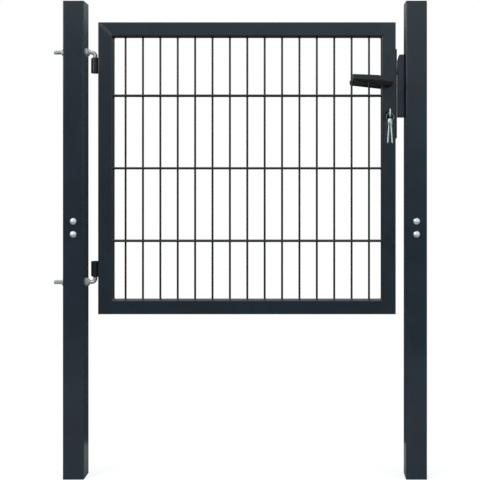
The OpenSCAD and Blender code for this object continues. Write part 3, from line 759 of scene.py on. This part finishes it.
for node in ("upper_hinge_sleeve", "lower_hinge_sleeve"):
    low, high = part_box(node)
    radius = (high.y - low.y) / 2
    length = high.z - low.z
    entry = -1 if node.startswith("lower") else 1
    entry_z = high.z if entry > 0 else low.z
    far_end = [(bore_radius, -length + sleeve_edge), (bore_radius + sleeve_edge, -length)]
    far_end += [(radius - sleeve_edge, -length), (radius, -length + sleeve_edge)]
    mouth = [(radius, -sleeve_chamfer), (radius - sleeve_chamfer, 0)]
    mouth += [(bore_radius + sleeve_edge, 0), (bore_radius, -sleeve_edge)]
    rings = [
        [Vector((axis_x + p.x, p.y, entry_z + entry * p.z)) for p in ring]
        for ring in turned(far_end + mouth, round_steps)
    ]
    sleeve = loft(node, rings, joined=True)
    piece(node + "_turned", sleeve, sleeve_coat, "leaf", "sleeve_paint", node, crease=25)
    web_in = axis_x + bore_radius + 0.001
    half = web_width / 2
    web_corners = [(web_in, -half), (leaf_low.x, -half), (leaf_low.x, half), (web_in, half)]
    web_foot = low.z + web_setback + (sleeve_chamfer if entry < 0 else 0)
    web_head = high.z - web_setback - (sleeve_chamfer if entry > 0 else 0)
    web_outline = eased(web_corners, web_edge, 2)
    web = loft(node + "_web", [[Vector((p.x, p.y, z)) for p in web_outline] for z in (web_foot, web_head)])
    piece(node + "_web", web, sleeve_coat, "leaf", "sleeve_paint")
    bead_x, bead_y = leaf_low.x - 0.0016, half + 0.0008
    lines = [[(bead_x, side * bead_y, z) for z in (web_foot, web_head)] for side in (-1, 1)]
    bead = beads(node + "_bead", lines, sleeve_coat, ripple=0.0015, radius=0.0021)
    piece(node + "_weld", bead, sleeve_coat, "leaf", "sleeve_paint")

# ---- Lock ----
# A narrow mortice lock in the latch stile. Its coated face plate is screwed to the stile's edge and
# carries the zinc plated latch bolt and dead bolt, and the nickel plated key cylinder passes through.


def softened(node, width):
    """A merged copy of a CAD node's mesh with its sharp edges rounded."""
    shape = bmesh.new()
    shape.from_mesh(frame["nodes"][node].data)
    bmesh.ops.remove_doubles(shape, verts=shape.verts, dist=1e-6)
    bmesh.ops.dissolve_limit(shape, angle_limit=radians(1), verts=shape.verts, edges=shape.edges)
    sharp = [edge for edge in shape.edges if edge.calc_face_angle(0) > radians(30)]
    rounding = {"offset": width, "offset_type": "OFFSET", "segments": 2, "profile": 0.5}
    bmesh.ops.bevel(shape, geom=sharp, affect="EDGES", clamp_overlap=True, **rounding)
    return mesh_of(node + "_softened", shape)


# A thin dark coat: nearly matt, with a fine peel.
face_coat = powder_coat(
    "dark_coat_on_face_plate", thin="#191D20", thick="#1D2125", roughness=0.36, peel=0.0015
)
# Dull zinc: mid grey, with blurred reflections.
lock_zinc = metal_plate("dull_zinc_plate", dark="#8A8F93", light="#A4A9AC", roughness=0.38)
# Nickel plate, coloured near black, with a soft sheen.
cylinder_nickel = metal_plate("satin_black_nickel_plate", dark="#1D1F22", light="#292B2E", roughness=0.38)
dress(lock_zinc, "lock_case")
for node, edge, finish, body, slot in (
    ("face_plate", 0.0005, face_coat, "leaf", "face_paint"),
    ("dead_bolt", 0.0006, lock_zinc, "leaf", "lock_steel"),
    ("latch_bolt", 0.0008, lock_zinc, "latch", "lock_steel"),
    ("key_cylinder", 0.0004, cylinder_nickel, "leaf", "cylinder_nickel"),
):
    piece(node + "_edged", softened(node, edge), finish, body, slot, node)


def cross_radius(angle, arm, half_width):
    """Distance from the middle of a cross recess to its wall, in a direction measured from an arm."""
    off = abs((angle + pi / 4) % (pi / 2) - pi / 4)
    return min(arm / cos(off), half_width / max(sin(off), 1e-6))


def screw(name, head, shank_radius, length, arm):
    """A screw along Z from its shank's end to its head's rim, with a cross recess in its head."""
    tip = 0.0005
    rings = turned([(shank_radius - tip, -length), (shank_radius, tip - length)] + head)
    top = head[-1][1]
    for share, sink in ((1.0, 0.0), (0.8, 0.0012), (0.35, 0.0016)):
        reach = arm * share
        rings.append([polar(cross_radius(a, reach, reach * 0.27), a, top - sink) for a in round_turns(40)])
    return loft(name, rings)


low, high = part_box("face_plate_screws")
head_radius = (high.y - low.y) / 2
shank_radius = 0.002
flat_head = [(shank_radius, -head_radius / 2), (head_radius - 0.0002, -0.0003)]
flat_head += [(head_radius - 0.0004, -0.0001)]
countersunk = screw("countersunk_screw", flat_head, shank_radius, high.x - low.x, arm=head_radius * 0.55)
heads = [(Vector((high.x, 0, z)), (1, 0, 0)) for z in (low.z + head_radius, high.z - head_radius)]
zinc_fixings("face_plate_screws_zinc", countersunk, heads, "leaf", "face_plate_screws")

# ---- Handle ----
# A pair of chunky black nylon levers, moulded with a fine grain, on a square steel spindle. A crease
# runs along each grip: above it the face is nearly upright, below it the grip is cut back.

# Glass-filled nylon: almost black, with dim wide highlights.
lever_nylon = moulded_plastic(
    "moulded_black_nylon", "#090C0F", "#0D1013", roughness=0.4, grain=0.0009, grain_depth=0.00003
)
dress(lock_zinc, "spindle")
pivot = joint_place("handle_turn")
lever_low, lever_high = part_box("front_lever")
lever_reach = pivot.x - lever_low.x
lever_rise = lever_high.z - pivot.z
grip_thickness = 0.014
grip_tip_height = 0.017
grip_tip_length = 0.0042
grip_shoulder = 0.032
grip_fall = 0.003
grip_dip = 0.0045
grip_depth = pivot.z - lever_low.z
grip_end = 0.006
grip_end_height = 0.014
back_lever_sag = radians(3)
neck_radius = 0.009
neck_edge = 0.0008
neck_start = abs(lever_high.y)


def along(x, *points):
    """A height at x on the straight lines through points of x and height."""
    for (x0, z0), (x1, z1) in zip(points, points[1:]):
        if x <= x1 or (x1, z1) == points[-1]:
            return z0 + (z1 - z0) * (x - x0) / (x1 - x0)


def grip_section(x, share):
    """The grip's section at x, in outward distance and height, shrunk to a share round its middle."""
    tip_foot = lever_rise - grip_tip_height
    shoulder_top = lever_rise - grip_fall
    top = along(
        x,
        (-lever_reach, lever_rise),
        (-grip_shoulder, shoulder_top),
        (-grip_shoulder / 2, shoulder_top - grip_dip),
        (grip_end, grip_end_height / 2),
    )
    bottom = along(x, (-lever_reach, tip_foot), (-grip_end, -grip_depth), (grip_end, -grip_end_height / 2))
    crease = along(
        x,
        (-lever_reach, tip_foot + 0.0015),
        (-lever_reach / 2, 0.0053),
        (-grip_shoulder / 2, 0.0014),
        (grip_end, 0.0),
    )
    half = grip_thickness / 2
    corners = [(-half, top - 0.0005), (half - 0.0028, top), (half, crease)]
    corners += [(half * 0.1, bottom), (-half, bottom + 0.001)]
    middle = Vector((0, (top + bottom) / 2))
    return [middle + (p - middle) * share for p in eased(corners, [0.003, 0.003, 0.001, 0.003, 0.003])]


def lever_mesh(name, side, sag):
    """A lever on the front (-1) or back (+1), its grip and neck fused as one moulding."""
    tip = [(0.0, 0.52), (0.0008, 0.74), (0.0022, 0.9), (grip_tip_length, 1.0)]
    heel = [(0.0022, 0.93), (0.0008, 0.78), (0.0, 0.55)]
    stations = [(-lever_reach + d, s) for d, s in tip]
    body_start, body_length = -lever_reach + grip_tip_length, lever_reach - grip_tip_length
    stations += [(body_start + body_length * k / 14, 1.0) for k in range(1, 15)]
    stations += [(grip_end - d, s) for d, s in heel]
    grip_y = abs(lever_low.y) - grip_thickness / 2
    grip = [
        [Vector((x, side * (grip_y + p.x), p.y)) for p in grip_section(x, share)]
        for x, share in stations
    ]
    neck_profile = [(neck_radius - neck_edge, neck_start), (neck_radius, neck_start + neck_edge)]
    neck_profile += [(neck_radius, grip_y - grip_thickness * 0.6), (neck_radius * 0.98, grip_y + 0.002)]
    neck = [[Vector((p.x, side * p.z, p.y)) for p in ring] for ring in turned(neck_profile)]
    shape = bmesh.new()
    shape.from_mesh(loft(name + "_grip", grip))
    shape.from_mesh(loft(name + "_neck", neck))
    shape.transform(Matrix.Translation(pivot) @ Matrix.Rotation(-sag, 4, "Y"))
    carrier = placed(name + "_carrier", mesh_of(name, shape))
    voxels = carrier.modifiers.new("fuse", "REMESH")
    voxels.mode = "VOXEL"
    voxels.voxel_size = 0.0007
    soften = carrier.modifiers.new("soften", "SMOOTH")
    soften.factor = 0.5
    soften.iterations = 4
    return evaluated_mesh(name, carrier)


for node, side, sag in (("front_lever", -1, 0.0), ("back_lever", 1, back_lever_sag)):
    lever = lever_mesh(node, side, sag)
    piece(node + "_moulding", lever, lever_nylon, "handle", "lever_plastic", node, crease=180)

rose_edge = 0.0012
rose_hole = 0.006
for node, side in (("front_rose", -1), ("back_rose", 1)):
    low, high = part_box(node)
    radius = (high.z - low.z) / 2
    base_y = high.y if side < 0 else low.y
    depth = high.y - low.y
    profile = [(rose_hole, 0), (radius, 0), (radius, depth - rose_edge)]
    profile += [(radius - rose_edge * 0.3, depth - rose_edge * 0.3)]
    profile += [(radius - rose_edge, depth), (rose_hole, depth)]
    rings = [
        [Vector((pivot.x + p.x, base_y + side * p.z, pivot.z + p.y)) for p in ring]
        for ring in turned(profile)
    ]
    piece(node + "_moulding", loft(node, rings, joined=True), lever_nylon, "leaf", "lever_plastic", node)

# ---- Keeper ----
# A strip of 3 mm steel folded into a channel and screwed to the latch post. The leading top corner
# of its lips is cut on a slope, and it is powder coated with the post.

# Painted light: the post's powder, coloured a shade lighter to lift the shade on the keeper, set back
# between leaf and post.
keeper_coat_lightened_against_shade = powder_coat("anthracite_powder_coat_on_keeper_lightened_against_shade", thin="#2D3841", thick="#323E48")
low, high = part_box("keeper")
keeper_setback = 0.0002
low.x += keeper_setback
keeper_thickness = 0.003
keeper_slope_height = 0.016
keeper_slope_width = 0.005
lip_edge = 0.0006
slope_edge = 0.0003
outer_fold = 0.0042
inner_fold = 0.0014
half = (high.y - low.y) / 2
inner = half - keeper_thickness
floor_x = high.x - keeper_thickness
slope_x = low.x + keeper_slope_width
outside = [(low.x, -half, lip_edge), (slope_x, -half, slope_edge), (high.x, -half, outer_fold)]
outside += [(high.x, half, outer_fold), (slope_x, half, slope_edge), (low.x, half, lip_edge)]
inside = [(low.x, inner, lip_edge), (slope_x, inner, slope_edge), (floor_x, inner, inner_fold)]
inside += [(floor_x, -inner, inner_fold), (slope_x, -inner, slope_edge), (low.x, -inner, lip_edge)]
channel = eased([(x, y) for x, y, _ in outside + inside], [cut for _, _, cut in outside + inside])
rings = []
for share in (0.0, 0.5, 1.0):
    ring = []
    for p in channel:
        slope = max(0.0, 1 - (p.x - low.x) / keeper_slope_width)
        top = high.z - slope * keeper_slope_height
        ring.append(Vector((p.x, p.y, low.z + share * (top - low.z))))
    rings.append(ring)
piece("keeper_folded", loft("keeper", rings), keeper_coat_lightened_against_shade, "posts", "leaf_paint", "keeper")

low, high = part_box("keeper_screws")
head_radius = (high.y - low.y) / 2
pan_height = floor_x - low.x
shank_radius = 0.0025
pan_head = [(shank_radius, 0), (head_radius, 0), (head_radius, pan_height * 0.45)]
pan_head += [(head_radius * 0.85, pan_height * 0.85), (head_radius * 0.62, pan_height)]
pan_screw = screw("pan_screw", pan_head, shank_radius, high.x - floor_x, arm=head_radius * 0.5)
heads = [(Vector((floor_x, 0, z)), (-1, 0, 0)) for z in (low.z + head_radius, high.z - head_radius)]
zinc_fixings("keeper_screws_zinc", pan_screw, heads, "posts", "keeper_screws")

# ---- Keys ----
# Three keys stamped from nickel plated brass, 2.2 mm thick, their bits cut on one side. One is in
# the cylinder, and two hang from it on a split ring of spring steel wire.

# Tumbled nickel: a pale metal, slightly green, whose edges and highlights are soft.
key_nickel = metal_plate(
    "tumbled_nickel_plate_on_key", dark="#D6E2DE", light="#E8F2EE", roughness=0.42, patch=0.004, metal=0.45
)
key_thickness = 0.0022
key_head_width = 0.0232
key_head_length = 0.018
key_head_top_cut = 0.009
key_head_foot_cut = 0.0065
key_hole_radius = 0.003
key_hole_inset = 0.008
key_blade_width = 0.0085
key_blade_length = 0.052
key_edge = 0.0003
key_collar = 0.007
cut_spacing = 0.0048
cut_depths = (0.0014, 0.0007, 0.0018, 0.001, 0.0015, 0.0005)


def flat_key(name):
    """A key in the plane of X and Y, its hole at the origin and its blade towards -Y."""
    head_foot = key_hole_inset - key_head_length
    half = key_head_width / 2
    corners = [(half, key_hole_inset), (-half, key_hole_inset), (-half, head_foot), (half, head_foot)]
    cuts = [key_head_top_cut, key_head_top_cut, key_head_foot_cut, key_head_foot_cut]
    bow = eased(corners, cuts, 8)
    tip = head_foot - key_blade_length
    edge = key_blade_width / 2
    blade = [Vector((-edge, head_foot)), Vector((-edge, tip + 0.003)), Vector((-edge + 0.003, tip))]
    blade += [Vector((edge - 0.0035, tip))]
    for k, depth in enumerate(reversed(cut_depths)):
        y = tip + 0.004 + k * cut_spacing
        blade += [Vector((edge - depth, y)), Vector((edge - depth, y + 0.0012))]
        blade += [Vector((edge - 0.0003, y + cut_spacing * 0.62))]
    blade += [Vector((edge, head_foot - key_collar)), Vector((edge, head_foot))]
    split = len(bow) * 3 // 4
    outline = bow[:split] + blade + bow[split:]
    hole = [polar(key_hole_radius, a) for a in round_turns(24)]
    sheet = bpy.data.curves.new(name, "CURVE")
    sheet.dimensions = "2D"
    sheet.fill_mode = "BOTH"
    sheet.extrude = key_thickness / 2 - key_edge
    sheet.bevel_depth = key_edge
    sheet.offset = -key_edge
    for points in (outline, hole):
        spline = sheet.splines.new("POLY")
        spline.points.add(len(points) - 1)
        spline.use_cyclic_u = True
        for target, point in zip(spline.points, points):
            target.co = (point.x, point.y, 0, 1)
    mesh = evaluated_mesh(name, placed(name, sheet))
    shape = bmesh.new()
    shape.from_mesh(mesh)
    bmesh.ops.remove_doubles(shape, verts=shape.verts, dist=1e-6)
    bmesh.ops.recalc_face_normals(shape, faces=shape.faces)
    shape.to_mesh(mesh)
    shape.free()
    return mesh


door_low, door_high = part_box("door_key")
ring_axis = joint_place("ring_swing")
hole_place = Vector((pivot.x, ring_axis.y, (door_low.z + door_high.z) / 2))
upright_in_lock = Matrix(((0, 0, 1, 0), (0, -1, 0, 0), (1, 0, 0, 0), (0, 0, 0, 1)))
door_key = flat_key("door_key_cut")
door_key.transform(Matrix.Translation(hole_place) @ upright_in_lock)
piece("door_key_cut", door_key, key_nickel, "leaf", "key_nickel", "door_key")

spare_pitch = 0.0042
spare_turn = radians(71)
spare_lean = radians(4)
spare_hole_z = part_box("spare_keys")[1].z - key_hole_inset
hanging = Matrix.Rotation(spare_turn, 4, "Z") @ Matrix.Rotation(pi / 2, 4, "X")
both = bmesh.new()
for side in (-1, 1):
    spare = flat_key("spare_key")
    place = Matrix.Translation((pivot.x + side * spare_pitch / 2, ring_axis.y, spare_hole_z))
    spare.transform(place @ Matrix.Rotation(-side * spare_lean, 4, "Y") @ hanging)
    both.from_mesh(spare)
spares = mesh_of("spare_keys_cut", both)
piece("spare_keys_cut", spares, key_nickel, "key_bunch", "key_nickel", "spare_keys")

# Nickel on hard drawn wire: greyer than the keys and sharper in its highlights.
ring_steel = metal_plate(
    "nickel_plated_spring_wire", dark="#8C9298", light="#B0B6BC", roughness=0.3, patch=0.003, metal=0.7
)


def split_ring(tree, size):
    """Two close turns of wire."""
    turns = {
        "Resolution": 64,
        "Rotations": 2.0,
        "Start Radius": size["Ring radius"],
        "End Radius": size["Ring radius"],
        "Height": size["Wire diameter"],
    }
    coil = add(tree, "GeometryNodeCurveSpiral", turns)
    half_wire = add(tree, "ShaderNodeMath", {0: size["Wire diameter"], 1: 0.5}, operation="MULTIPLY")
    section = add(tree, "GeometryNodeCurvePrimitiveCircle", {"Resolution": 12, "Radius": half_wire})
    swept = {"Curve": coil, "Profile Curve": section, "Fill Caps": True}
    return add(tree, "GeometryNodeCurveToMesh", swept)


low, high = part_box("key_ring")
ring_thickness = high.y - low.y
wire_diameter = ring_thickness / 2
ring_radius = (high.x - low.x) / 2 - ring_thickness / 2
ring_sizes = {"Ring radius": ring_radius, "Wire diameter": wire_diameter}
coil = grown("split_ring", split_ring, ring_steel, ring_sizes)
coil.transform(Matrix.Translation((0, 0, -wire_diameter / 2)))
coil.transform(Matrix.Translation((low + high) / 2) @ Matrix.Rotation(pi / 2, 4, "X"))
piece("split_key_ring", coil, ring_steel, "key_bunch", "zinc_steel", "key_ring", crease=50)
